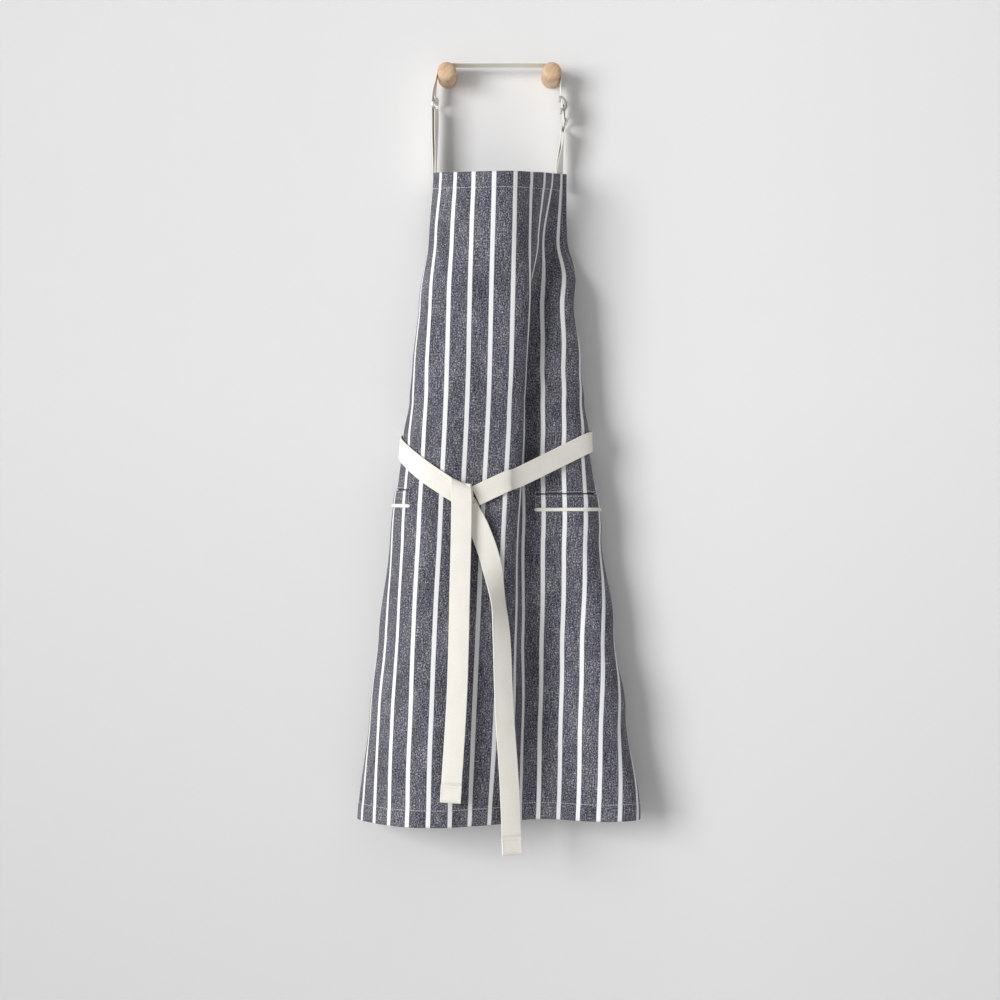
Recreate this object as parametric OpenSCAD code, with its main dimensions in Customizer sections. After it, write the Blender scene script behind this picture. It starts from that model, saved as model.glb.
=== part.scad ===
// Striped bib apron hung by its neck strap over two turned wooden wall pegs.
// Millimetres. The origin lies on the wall plane, midway between the peg axes.
// +X is to the right, +Z is up, and -Y points out of the wall towards the viewer.

/* [Pegs] */
// Distance between the two peg axes
peg_spacing = 132; // [124:1:140]
// Diameter of a peg's domed head
peg_head_d = 24; // [23:0.5:25]
// Distance a peg stands out from the wall
peg_reach = 50; // [46:1:60]
// Diameter of the hanger bolt that holds a peg to the wall
bolt_d = 6; // [5:0.5:8]
// Length of hanger bolt that stands out of the back of a peg
bolt_out = 28; // [20:1:40]

/* [Apron cloth] */
// Height of the apron from the bib's corners to the hem
apron_h = 820; // [760:5:880]
// Flat width of the bib at its top edge
bib_w = 286; // [270:2:300]
// Flat width of the skirt
skirt_w = 600; // [560:2:610]
// Drop from the bib's corners to the side corners where the ties are sewn
corner_drop = 345; // [330:5:360]
// Modelled thickness of the cloth
cloth_t = 1.6; // [1.2:0.1:2]
// Distance between two white stripes
stripe_pitch = 26.4; // [25:0.1:28]

/* [Pockets] */
// Flat width of a pocket opening
pocket_w = 140; // [100:5:150]
// Drop from the bib's corners to a pocket's slit
pocket_drop = 404; // [400:1:430]
// Height of the welt that covers the slit
welt_h = 22; // [14:1:26]
// Height of the cream binding on the welt's lower edge
binding_h = 4.5; // [3:0.5:6]
// Depth of the pocket bag below the slit
bag_h = 150; // [100:5:180]

/* [Webbing and hardware] */
// Width of the cotton webbing
web_w = 25; // [22:1:27]
// Thickness of the cotton webbing
web_t = 1.2; // [1:0.1:1.4]
// Wire diameter of the rings and the slider's bars
wire_d = 2.4; // [2:0.1:2.6]

/* [Hidden] */
$fn = 64;

peg_x = peg_spacing / 2;
peg_seat_r = peg_head_d / 2 - 0.15;   // the waist of the peg, where the strap lies
peg_foot_r = peg_head_d / 2 + 0.3;
peg_foot_len = 7;
peg_head_len = 11.5;
peg_head_round = 6;                  // rounding of the head's edge
peg_dome_r = 40;                     // radius of the head's domed face
peg_groove_r = 1.6;                  // the turned groove behind the head
bolt_in = 21;
bolt_core_d = bolt_d - 0.6;          // the wood-screw end inside the peg
bolt_shank = 8;                      // plain shank next to the peg's back
bolt_relief = 0.3;                   // clearance round the shank in the peg's back
fit_gap = 0.3;                       // between the strap and what it passes

strap_y = -22.5;                     // middle of the webbing's width, measured from the wall
bar_len = web_w + 2;                 // clear width inside a ring
loop_r = wire_d / 2 + fit_gap + web_t / 2;   // centre line of a webbing loop round a bar

// ---------------------------------------------------------------- the cloth
// The cloth is bent across its width only. Each chart row gives the turn of the cloth, in
// degrees from facing the viewer, in each gap between two stripes: from 12 gaps left of the
// centre stripe to 12 gaps right of it. Negative turns face left, positive turns face right,
// and 180 is cloth folded flat behind. Down the apron the rows blend smoothly.
cloth_top = -125;
chart_drops = [0, 85, 170, 250, 290, 340, 460, 585, 685, 820];
chart = [
    [-95, -95, -95, -95, -95, -95, -100, -95, -65, -45, -30, -20,
        5, 45, 50, 70, 65, 45, 85, 90, 90, 90, 90, 90],
    [-95, -95, -95, -95, -95, -95, -95, -90, -70, -35, -25, -5,
        0, 45, 65, 85, 35, 50, 90, 110, 110, 110, 110, 110],
    [-165, -165, -165, -165, -155, -135, -110, -90, -60, -25, -10, 5,
        -2, 27, 116, 39, -37, 53, 136, 175, 180, 180, 180, 180],
    [-180, -180, -175, -185, -165, -150, -115, -85, -55, -15, 0, 10,
        -4, 33, 128, -4, 4, 26, 106, 161, 175, 180, 180, 180],
    [-180, -160, -205, -160, -180, -150, -105, -80, -50, -20, 0, 10,
        8, 33, 124, -24, 0, 30, 83, 160, 205, 155, 205, 180],
    [-220, -135, -220, -140, -190, -145, -100, -70, -45, -15, 5, 15,
        -5, 32, 121, -23, 1, 16, 71, 131, 206, 140, 215, 150],
    [-205, -150, -205, -150, -185, -140, -85, -55, -45, -5, 15, 15,
        -11, 49, 91, -9, -1, -2, 44, 90, 193, 151, 205, 165],
    [-180, -175, -185, -175, -165, -105, -65, -55, -40, -5, 0, 5,
        -3, 36, 84, 14, 14, -30, 3, 52, 110, 175, 186, 180],
    [-180, -180, -180, -175, -150, -90, -60, -50, -30, -15, 15, 5,
        7, 25, 75, 32, -13, -29, -11, 24, 67, 129, 167, 180],
    [-180, -180, -180, -170, -120, -70, -50, -45, -30, -10, 0, 30,
        20, 31, 59, 30, -12, -27, -20, 3, 21, 87, 127, 165]];
chart_gaps = len(chart[0]);
walk_step = stripe_pitch / 4;

function total(list) = list * [for (i = list) 1];
function clamp(a, low, high) = max(low, min(high, a));

// Cubic blend of four neighbouring values, at t from the second to the third
function cubic(a, b, c, d, t) =
    b + t * ((c - a) + t * ((2 * a - 5 * b + 4 * c - d) + t * (3 * (b - c) + d - a))) / 2;

function chart_cell(drop) =
    max([for (i = [0:len(chart_drops) - 2]) drop >= chart_drops[i] ? i : 0]);

// The turns of the cloth at one height
function turns_at(drop) =
    let (i = chart_cell(drop), last = len(chart) - 1,
        t = clamp((drop - chart_drops[i]) / (chart_drops[i + 1] - chart_drops[i]), 0, 1),
        e = t * t * (3 - 2 * t))
    [for (g = [0:chart_gaps - 1]) chart[i][g] * (1 - e) + chart[i + 1][g] * e];

// The turn at a distance across from the centre stripe
function turn_at(turns, across) =
    let (g = clamp(across / stripe_pitch + chart_gaps / 2 - 0.5, 0, chart_gaps - 1.001),
        i = floor(g))
    turns[i] + (turns[i + 1] - turns[i]) * (g - i);

function centre_x(drop) =
    -6 - 31 * pow(drop / apron_h, 1.2) + 2 * exp(-pow((drop - 280) / 110, 2));
function centre_y(drop) = -115 + 8 * clamp(drop / 350, 0, 1);
function half_w(drop) =
    bib_w / 2 + (skirt_w - bib_w) / 2 * pow(clamp(drop / corner_drop, 0, 1), 2.2);
// The bib's top edge sags between its two held corners
function sag(drop, across) =
    8 * pow(cos(clamp(180 * across / bib_w, -90, 90)), 2) * exp(-drop / 70);

// A point of the cloth: drop down from the bib's corners, across from the centre stripe, and
// out from the cloth's middle layer
function cloth_point(turns, drop, across, out) =
    let (n = max(1, ceil(abs(across) / walk_step)), step = across / n,
        walk = [for (k = [0:n - 1]) turn_at(turns, (k + 0.5) * step)],
        t = turn_at(turns, across))
    [centre_x(drop) + step * total([for (a = walk) cos(a)]) + out * sin(t),
        centre_y(drop) + step * total([for (a = walk) sin(a)]) - out * cos(t),
        cloth_top - drop * 0.993 - sag(drop, across)];

// The whole cloth as a grid of points. Columns keep a fixed distance from the centre stripe
// over the bib's width, and close up beyond it where the cloth is cut narrower.
bib_share = 0.4;
function column_at(drop, share) =
    let (core = bib_share * skirt_w / 2, a = abs(share))
    sign(share) * (a < bib_share ? a * skirt_w / 2
        : core + (half_w(drop) - core) * (a - bib_share) / (1 - bib_share));
function cloth_grid(drops, shares, out) =
    [for (drop = drops) let (turns = turns_at(drop))
        [for (s = shares) cloth_point(turns, drop, column_at(drop, s), out)]];

// A strip of it, between two distances from the centre stripe
function strip_grid(drops, shares, low, high, out) =
    [for (drop = drops) let (turns = turns_at(drop))
        [for (s = shares) cloth_point(turns, drop, low + (high - low) * s, out)]];

function steps(low, high, n) = [for (i = [0:n]) low + (high - low) * i / n];

// A closed shell between an outer and an inner grid of points
module shell(outer, inner) {
    rows = len(outer);
    cols = len(outer[0]);
    count = rows * cols;
    points = concat([for (r = outer, p = r) p], [for (r = inner, p = r) p]);
    faces = concat(
        [for (r = [0:rows - 2], c = [0:cols - 2]) let (i = r * cols + c)
            each [[i, i + 1, i + cols + 1], [i, i + cols + 1, i + cols],
                [count + i, count + i + cols + 1, count + i + 1],
                [count + i, count + i + cols, count + i + cols + 1]]],
        [for (c = [0:cols - 2]) let (top = c, low = (rows - 1) * cols + c)
            each [[top, count + top + 1, top + 1], [top, count + top, count + top + 1],
                [low, low + 1, count + low + 1], [low, count + low + 1, count + low]]],
        [for (r = [0:rows - 2]) let (left = r * cols, right = r * cols + cols - 1)
            each [[left, left + cols, count + left + cols], [left, count + left + cols, count + left],
                [right, count + right + cols, right + cols], [right, count + right, count + right + cols]]]);
    polyhedron(points = points, faces = faces, convexity = 10);
}

module cloth_strip(drops, low, high, n, outer, inner) {
    shares = steps(0, 1, n);
    shell(strip_grid(drops, shares, low, high, outer), strip_grid(drops, shares, low, high, inner));
}

module apron_panel() {
    drops = concat(steps(0, corner_drop, 12),
        [for (d = steps(corner_drop, apron_h, 14)) if (d > corner_drop) d]);
    shares = steps(-1, 1, 50);
    color([0.33, 0.34, 0.40])
        shell(cloth_grid(drops, shares, cloth_t / 2), cloth_grid(drops, shares, -cloth_t / 2));
}

// ---------------------------------------------------------------- pockets
pocket_inner = 3.6 * stripe_pitch;      // a pocket's inner end, from the centre stripe
skin_gap = 0.3;                         // between two layers of cloth that lie together
bag_gap = 2;                            // between the cloth and the bag that hangs behind it

// side is -1 on the left and 1 on the right
function pocket_low(side) = side < 0 ? -pocket_inner - pocket_w : pocket_inner;
// The right pocket sits a little lower
function slit_drop(side) = pocket_drop + (side < 0 ? 0 : 5);

module pocket_bag(side) {
    outer = -cloth_t / 2 - bag_gap;
    color([0.30, 0.31, 0.36])
        cloth_strip(steps(slit_drop(side) - 12, slit_drop(side) + bag_h, 7), pocket_low(side),
            pocket_low(side) + pocket_w, 12, outer, outer - 2 * cloth_t);
}

module pocket_welt(side) {
    inner = cloth_t / 2 + skin_gap;
    color([0.36, 0.37, 0.43])
        cloth_strip(steps(slit_drop(side), slit_drop(side) + welt_h - binding_h, 2), pocket_low(side),
            pocket_low(side) + pocket_w, 16, inner + 1.2, inner);
}

module pocket_binding(side) {
    inner = cloth_t / 2 + skin_gap;
    low = slit_drop(side) + welt_h + skin_gap;
    color([0.93, 0.90, 0.84])
        cloth_strip(steps(low - binding_h, low, 1),
            pocket_low(side) - 1.5, pocket_low(side) + pocket_w + 1.5, 16, inner + 1.8, inner);
}

// ---------------------------------------------------------------- pegs
// Half of a peg's head: straight sides, a rounded edge and a shallow dome
function head_outline(neck) =
    let (inset = peg_head_d / 2 - peg_head_round, dome = [0, peg_reach - peg_dome_r],
        rise = sqrt(pow(peg_dome_r - peg_head_round, 2) - inset * inset), slant = atan2(rise, inset))
    concat([[0, neck], [peg_head_d / 2, neck]],
        arc(dome + [inset, rise], peg_head_round, 0, slant, 10),
        arc(dome, peg_dome_r, slant, 90, 6));

module peg(x) {
    neck = peg_reach - peg_head_len;
    color([0.85, 0.72, 0.58])
        translate([x, 0, 0])
            rotate([90, 0, 0])
                difference() {
                    rotate_extrude()
                        difference() {
                            union() {
                                square([peg_foot_r, peg_foot_len]);
                                square([peg_seat_r, neck]);
                                polygon(head_outline(neck));
                            }
                            translate([peg_seat_r + 0.1, neck])
                                circle(r = peg_groove_r);
                        }
                    translate([0, 0, -1])
                        cylinder(d = bolt_core_d + 0.1, h = bolt_in + 2);
                    translate([0, 0, -1])
                        cylinder(r = bolt_d / 2 + bolt_relief, h = 2.5);
                }
}

module hanger_bolt(x) {
    thread_pitch = 2.5;
    root_r = bolt_d / 2 - 0.55;
    color([0.70, 0.71, 0.73])
        translate([x, 0, 0])
            rotate([90, 0, 0]) {
                translate([0, 0, -bolt_shank])
                    cylinder(d = bolt_d, h = bolt_shank);
                translate([0, 0, -1])
                    cylinder(d = bolt_core_d, h = bolt_in + 1);
                translate([0, 0, -bolt_out + 5])
                    cylinder(r = root_r, h = bolt_out - 4 - bolt_shank);
                translate([0, 0, -bolt_out])
                    cylinder(r1 = 0.4, r2 = root_r, h = 5);
                for (z = [-bolt_out + 5.5 : thread_pitch : -bolt_shank - thread_pitch])
                    translate([0, 0, z]) {
                        cylinder(r1 = root_r, r2 = bolt_d / 2 - 0.05, h = 0.9);
                        translate([0, 0, 0.9])
                            cylinder(r1 = bolt_d / 2 - 0.05, r2 = root_r, h = 0.9);
                    }
            }
}

// ---------------------------------------------------------------- webbing
function unit(v) = v / max(norm(v), 0.0001);
function tangent(path, i) = unit(path[min(i + 1, len(path) - 1)] - path[max(i - 1, 0)]);
function arc(centre, r, from, to, n) = [for (a = steps(from, to, n)) centre + r * [cos(a), sin(a)]];

// A flat strap seen edge-on: a band of constant thickness along a path of [x, z] points
module edge_band(path) {
    side = [for (i = [0:len(path) - 1]) let (t = tangent(path, i)) [-t.y, t.x] * web_t / 2];
    translate([0, strap_y + web_w / 2, 0])
        rotate([90, 0, 0])
            linear_extrude(web_w)
                polygon(concat([for (i = [0:len(path) - 1]) path[i] + side[i]],
                    [for (i = [len(path) - 1:-1:0]) path[i] - side[i]]));
}

// The right side's lower strap leans out by this angle. lean() turns its own [x, z] to the frame.
lean_angle = 6;
lean_top = [77.9, -22];
function lean(p) = lean_top + [p.x * cos(lean_angle) - p.y * sin(lean_angle),
    p.x * sin(lean_angle) + p.y * cos(lean_angle)];
module leaning() {
    translate([lean_top.x, 0, lean_top.y])
        rotate([0, -lean_angle, 0])
            children();
}
return_x = 2 * loop_r;                 // middle of the returning layer, beside the main layer
right_bar = [loop_r, -38];             // the ring's upper bar, in the leaning frame
slider_z = -16;                        // the slider's centre bar, in the leaning frame
sewn_len = 19;                         // doubled end below the slider's centre bar

left_bar = [-81.5, -34];               // the left ring's upper bar, in [x, z]
ring_h = 10;                           // from a ring's upper bar to its lower bar
right_ring_turn = 20;                  // the right ring hangs out of line by this angle
right_low_bar = lean(right_bar) + ring_h * [-sin(right_ring_turn), -cos(right_ring_turn)];

module neck_strap() {
    seat = peg_seat_r + fit_gap + web_t / 2;
    path = concat(
        [[left_bar.x + loop_r, -28.5], [left_bar.x + loop_r, left_bar.y + 1]],
        arc(left_bar, loop_r, 0, -180, 12),
        [[left_bar.x - loop_r, left_bar.y + 1], [left_bar.x - loop_r + 1.5, -18]],
        arc([-peg_x, 0], seat, 180, 90, 14),
        arc([peg_x, 0], seat, 90, 0, 14),
        [lean([0, 4]), lean([0, right_bar.y + 1])],
        [for (p = arc(right_bar, loop_r, -180, 0, 12)) lean(p)],
        [lean([return_x, right_bar.y + 1]), lean([return_x, slider_z - wire_d / 2 - 1.5])]);
    color([0.94, 0.91, 0.86])
        edge_band(path);
}

// The strap's end, folded round the slider's centre bar and sewn to itself. The returning
// layer of the neck strap slides between its two leaves.
module sewn_strap_end() {
    leaf = web_t + fit_gap;
    bar = [return_x, slider_z];
    path = concat([[return_x - leaf, slider_z - sewn_len], [return_x - leaf, slider_z - 3]],
        arc(bar, loop_r, 180, 0, 12),
        [[return_x + leaf, slider_z - 3], [return_x + leaf, slider_z - sewn_len]]);
    color([0.92, 0.89, 0.83])
        edge_band([for (p = path) lean(p)]);
}

// A webbing loop round a ring's lower bar, with both ends sewn to a corner of the bib
module strap_tab(bar, foot) {
    leaf = cloth_t / 2 + web_t / 2;
    path = concat([foot + [-leaf, -16], foot + [-leaf, 0], bar + [-loop_r, 2 - ring_h / 2]],
        arc(bar, loop_r, 180, 0, 12),
        [bar + [loop_r, 2 - ring_h / 2], foot + [leaf, 0], foot + [leaf, -16]]);
    color([0.94, 0.91, 0.86])
        edge_band(path);
}

// ---------------------------------------------------------------- metal
module wire(len) {
    rotate([90, 0, 0])
        cylinder(d = wire_d, h = len, center = true);
}

// A rectangular ring with rounded corners, in the YZ plane, hanging from its upper bar
module ring() {
    corner_r = 3;
    color([0.75, 0.76, 0.78]) {
        for (z = [0, -ring_h])
            translate([0, 0, z])
                wire(bar_len);
        for (side = [-1, 1]) {
            translate([0, side * (bar_len / 2 + corner_r), -ring_h + corner_r])
                cylinder(d = wire_d, h = ring_h - 2 * corner_r);
            for (z = [-ring_h + corner_r, -corner_r])
                translate([0, side * bar_len / 2, z])
                    rotate([0, 90, 0])
                        rotate([0, 0, side < 0 ? (z < -corner_r - 1 ? 270 : 180) : (z < -corner_r - 1 ? 0 : 90)])
                            rotate_extrude(angle = 90)
                                translate([corner_r, 0])
                                    circle(d = wire_d, $fn = 32);
        }
    }
}

// A bowed three-bar slider. The main strap lies straight between its centre bar and its
// two outer bars.
slider_reach = 8;                      // from the centre bar to an outer bar
outer_x = -(web_t + wire_d) / 2 - fit_gap;
module strap_slider() {
    rise = return_x - outer_x;
    rail_r = (slider_reach * slider_reach + rise * rise) / (2 * rise);
    color([0.75, 0.76, 0.78])
        leaning()
            translate([0, strap_y, slider_z]) {
                translate([return_x, 0, 0])
                    wire(bar_len + 1);
                for (z = [-slider_reach, slider_reach])
                    translate([outer_x, 0, z])
                        wire(bar_len + 1);
                for (side = [-1, 1])
                    translate([0, side * (bar_len / 2 + 1) + 1, 0])
                        rotate([90, 0, 0])
                            linear_extrude(2)
                                intersection() {
                                    translate([return_x - rail_r, 0])
                                        difference() {
                                            circle(r = rail_r + wire_d / 2);
                                            circle(r = rail_r - wire_d / 2);
                                        }
                                    translate([outer_x - 1, -slider_reach - 1])
                                        square([20, 2 * slider_reach + 2]);
                                }
            }
}

// ---------------------------------------------------------------- waist ties
// A smooth path through hand-set stations
function smooth(stations, n) =
    let (last = len(stations) - 1)
    concat([for (i = [0:last - 1], k = [0:n - 1])
            cubic(stations[max(i - 1, 0)], stations[i], stations[i + 1], stations[min(i + 2, last)], k / n)],
        [stations[last]]);

// A ribbon of webbing. A station is [x, y, z, the turn of its width from +X towards +Z,
// the turn of its width from +X towards the wall].
function ribbon_side(s) = [cos(s[3]) * cos(s[4]), cos(s[3]) * sin(s[4]), sin(s[3])];
function ribbon_grid(stations, across, out) =
    [for (i = [0:len(stations) - 1])
        let (p = [for (s = stations) [s.x, s.y, s.z]], t = tangent(p, i),
            side = unit(ribbon_side(stations[i]) - t * (ribbon_side(stations[i]) * t)),
            up = cross(t, side))
        [for (a = across) p[i] + side * a + up * out]];

module ribbon(stations, width, thickness) {
    across = steps(-width / 2, width / 2, 2);
    shell(ribbon_grid(stations, across, thickness / 2), ribbon_grid(stations, across, -thickness / 2));
}

// A tie that hugs the cloth. A stop is [gaps across from the centre stripe, drop, out].
function hug(stops) = [for (s = stops)
    cloth_point(turns_at(s[1]), s[1], s[0] * stripe_pitch, s[2])];
function band_grid(stops, across, out) =
    let (path = smooth(hug(stops), 4))
    [for (a = across) [for (i = [0:len(path) - 1])
        let (t = tangent(path, i), up = unit(cross(t, [0, 0, 1])), side = cross(up, t))
        path[i] + side * a + up * out]];

module band(stops) {
    across = steps(web_w / 2, -web_w / 2, 2);
    color([0.94, 0.91, 0.86])
        shell(band_grid(stops, across, web_t / 2), band_grid(stops, across, -web_t / 2));
}

tie_out = 3.2;                         // middle of a tie, out from the cloth's middle layer
left_stops = [[10.6, 340, 2], [-10.9, 342, 3], [-9, 342, 4], [-7.6, 343, 3.4], [-6.6, 345, 3],
    [-5.6, 348, 3], [-4.7, 353, tie_out], [-3.8, 364, tie_out], [-2.8, 381, tie_out],
    [-1.8, 399, 4.5], [-1.2, 410, 5.5], [-0.8, 422, 5], [-0.65, 430, 5.5]];
right_stops = [[-0.45, 411, 8.5], [1, 393, 4], [1.75, 386, 3.6], [6, 347.5, tie_out],
    [6.6, 344, tie_out], [7.1, 341, 3.4], [7.8, 340, 4], [9, 340, 5], [10.4, 340, 6.5], [-10.9, 340, 8]];

module left_waist_tie() {
    band(left_stops);
}

module right_waist_tie() {
    band(right_stops);
}

// The half knot: the right tie's wrap over the left tie
wrap_stations = [[-43, -118.5, -541, -24, 0], [-45, -118.5, -527, -26, 0],
    [-46.5, -122.5, -518, -26, 0], [-46.5, -127.5, -523.5, -22, 0], [-46, -129, -535, -8, 0],
    [-45.8, -129, -547, 2, 0]];
module knot_wrap() {
    color([0.95, 0.92, 0.87])
        ribbon(smooth(wrap_stations, 4), web_w, web_t);
}

front_stations = [[-45.8, -129, -547.5, 2, 0], [-46.5, -128.5, -590, 1, 0], [-48, -128, -650, 1, 0],
    [-49.5, -128.5, -720, -1, 0], [-52, -130, -790, -3, 0], [-58, -131, -885, -8, 0]];
rear_stations = [[-34, -118, -556, 30, 0], [-24, -118, -575, 28, 0], [-11, -116, -612, 16, 10],
    [-1.5, -115.5, -661, 4, 45], [3, -116, -710, 2, 30], [6, -117, -790, 3, 24],
    [12, -119, -880, 4, 20], [15, -120, -950, 3, 18]];
hem_len = 22;

module front_tail() {
    color([0.95, 0.92, 0.88])
        ribbon(smooth(front_stations, 5), web_w, web_t);
}

module rear_tail() {
    color([0.92, 0.88, 0.82])
        ribbon(smooth(rear_stations, 5), web_w, web_t);
}

// The doubled and stitched end of a tail, continuing its last two stations
module tail_hem(stations) {
    last = stations[len(stations) - 1];
    before = stations[len(stations) - 2];
    along = unit([for (i = [0:2]) last[i] - before[i]]);
    a = [for (i = [0:4]) i < 3 ? last[i] + along[i] * 0.3 : last[i]];
    b = [for (i = [0:4]) i < 3 ? last[i] + along[i] * hem_len : last[i]];
    color([0.95, 0.92, 0.88])
        ribbon([a, b], web_w, 2.2 * web_t);
}

peg(-peg_x);  // left_peg
peg(peg_x);  // right_peg
hanger_bolt(-peg_x);  // left_hanger_bolt
hanger_bolt(peg_x);  // right_hanger_bolt
apron_panel();
pocket_bag(-1);  // left_pocket_bag
pocket_bag(1);  // right_pocket_bag
pocket_welt(-1);  // left_pocket_welt
pocket_welt(1);  // right_pocket_welt
pocket_binding(-1);  // left_pocket_binding
pocket_binding(1);  // right_pocket_binding
neck_strap();
strap_tab(left_bar - [0, ring_h], [-82, -126]);  // left_strap_tab
strap_tab(right_low_bar, [77.5, -126]);  // right_strap_tab
translate([left_bar.x, strap_y, left_bar.y]) ring();  // left_ring
translate([lean(right_bar).x, strap_y, lean(right_bar).y]) rotate([0, right_ring_turn, 0]) ring();  // right_ring
strap_slider();
sewn_strap_end();
left_waist_tie();
right_waist_tie();
knot_wrap();
front_tail();
rear_tail();
tail_hem(front_stations);  // front_tail_hem
tail_hem(rear_stations);  // rear_tail_hem
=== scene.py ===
"""The looks of a striped bib apron that hangs by its neck strap from two wooden wall pegs.

Lengths are in millimetres until a mesh is made, and the frame's axes are kept: +X to the right,
+Z up, -Y out of the wall. The cloth follows the same fold chart as the CAD model, so every piece
that is sewn or tied to it is placed by its drop from the bib's corners and its distance across
from the centre stripe.
"""
import math

import bpy
import numpy as np
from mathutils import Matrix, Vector, noise


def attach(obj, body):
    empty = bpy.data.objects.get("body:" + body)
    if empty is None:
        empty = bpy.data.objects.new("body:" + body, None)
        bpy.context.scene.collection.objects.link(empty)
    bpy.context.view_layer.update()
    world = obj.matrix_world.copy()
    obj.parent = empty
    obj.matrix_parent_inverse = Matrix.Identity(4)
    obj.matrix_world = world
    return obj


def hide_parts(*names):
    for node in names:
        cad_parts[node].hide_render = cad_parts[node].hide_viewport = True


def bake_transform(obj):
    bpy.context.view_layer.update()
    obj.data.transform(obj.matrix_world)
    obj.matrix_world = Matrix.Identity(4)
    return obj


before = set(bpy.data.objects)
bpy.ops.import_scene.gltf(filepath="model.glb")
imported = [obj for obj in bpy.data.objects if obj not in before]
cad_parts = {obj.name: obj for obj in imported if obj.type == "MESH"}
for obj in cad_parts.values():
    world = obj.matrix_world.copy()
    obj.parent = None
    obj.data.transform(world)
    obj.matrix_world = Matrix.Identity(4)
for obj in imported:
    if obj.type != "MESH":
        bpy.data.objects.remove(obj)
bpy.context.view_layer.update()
MM = 0.001

# ---------------------------------------------------------------- camera, light and wall
scene = bpy.context.scene
scene.view_settings.view_transform = "Standard"
scene.view_settings.look = "None"


def add_camera():
    data = bpy.data.cameras.new("camera")
    data.lens, data.sensor_width = 72, 36
    camera = bpy.data.objects.new("camera", data)
    camera.location = (0.001, -2.56, -0.539)
    camera.rotation_euler = (math.pi / 2, 0, 0)
    scene.collection.objects.link(camera)
    scene.camera = camera


def add_area_light(name, location, target, size, watts):
    data = bpy.data.lights.new(name, "AREA")
    data.shape, data.size, data.energy = "SQUARE", size, watts
    light = bpy.data.objects.new(name, data)
    light.location = location
    light.rotation_euler = (Vector(target) - Vector(location)).to_track_quat("-Z", "Y").to_euler()
    scene.collection.objects.link(light)


def set_world(strength):
    """An even white light from all round."""
    world = bpy.data.worlds.new("studio")
    scene.world = world
    world.use_nodes = True
    background = world.node_tree.nodes["Background"]
    background.inputs["Color"].default_value = (1, 1, 1, 1)
    background.inputs["Strength"].default_value = strength


class Shader:
    """A material and a few words for its nodes."""

    def __init__(self, name, **principled):
        self.material = bpy.data.materials.new(name)
        self.material.use_nodes = True
        self.tree = self.material.node_tree
        self.surface = self.tree.nodes["Principled BSDF"]
        for socket, value in principled.items():
            self.surface.inputs[socket.replace("_", " ")].default_value = value

    def node(self, kind, **settings):
        made = self.tree.nodes.new(kind)
        for key, value in settings.items():
            setattr(made, key, value)
        return made

    def feed(self, socket, value):
        if isinstance(value, bpy.types.NodeSocket):
            self.tree.links.new(value, socket)
        else:
            socket.default_value = value

    def math(self, operation, a, b=0.0):
        made = self.node("ShaderNodeMath", operation=operation)
        self.feed(made.inputs[0], a)
        self.feed(made.inputs[1], b)
        return made.outputs[0]

    def uv(self):
        """A piece's own distances across and along, in metres."""
        parts = self.node("ShaderNodeSeparateXYZ")
        self.feed(parts.inputs[0], self.node("ShaderNodeUVMap", uv_map="cloth").outputs[0])
        return parts.outputs[0], parts.outputs[1]

    def vector(self, x, y, z=0.0):
        made = self.node("ShaderNodeCombineXYZ")
        for socket, value in zip(made.inputs, (x, y, z)):
            self.feed(socket, value)
        return made.outputs[0]

    def noise(self, vector, scale=1.0, detail=2.0, roughness=0.5, distortion=0.0):
        made = self.node("ShaderNodeTexNoise")
        self.feed(made.inputs["Vector"], vector)
        made.inputs["Scale"].default_value = scale
        made.inputs["Detail"].default_value = detail
        made.inputs["Roughness"].default_value = roughness
        made.inputs["Distortion"].default_value = distortion
        return made.outputs["Fac"]

    def ramp(self, value, *stops):
        made = self.node("ShaderNodeValToRGB")
        self.feed(made.inputs[0], value)
        elements = made.color_ramp.elements
        while len(elements) < len(stops):
            elements.new(1)
        for element, (place, colour) in zip(elements, stops):
            element.position = place
            element.color = (*colour, 1)
        return made.outputs["Color"]

    def span(self, value, low, high, to_low=0.0, to_high=1.0):
        made = self.node("ShaderNodeMapRange")
        for socket, number in zip(made.inputs, (value, low, high, to_low, to_high)):
            self.feed(socket, number)
        return made.outputs[0]

    def mix(self, factor, a, b):
        made = self.node("ShaderNodeMix", data_type="RGBA")
        self.feed(made.inputs["Factor"], factor)
        for socket, value in ((made.inputs[6], a), (made.inputs[7], b)):
            self.feed(socket, (*value, 1) if isinstance(value, tuple) and len(value) == 3 else value)
        return made.outputs[2]

    def colour(self, value):
        self.feed(self.surface.inputs["Base Color"], value)

    def roughness(self, value):
        self.feed(self.surface.inputs["Roughness"], value)

    def bump(self, height, depth_mm, strength=1.0):
        made = self.node("ShaderNodeBump")
        made.inputs["Strength"].default_value = strength
        made.inputs["Distance"].default_value = depth_mm * MM
        self.feed(made.inputs["Height"], height)
        self.feed(self.surface.inputs["Normal"], made.outputs[0])


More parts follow.
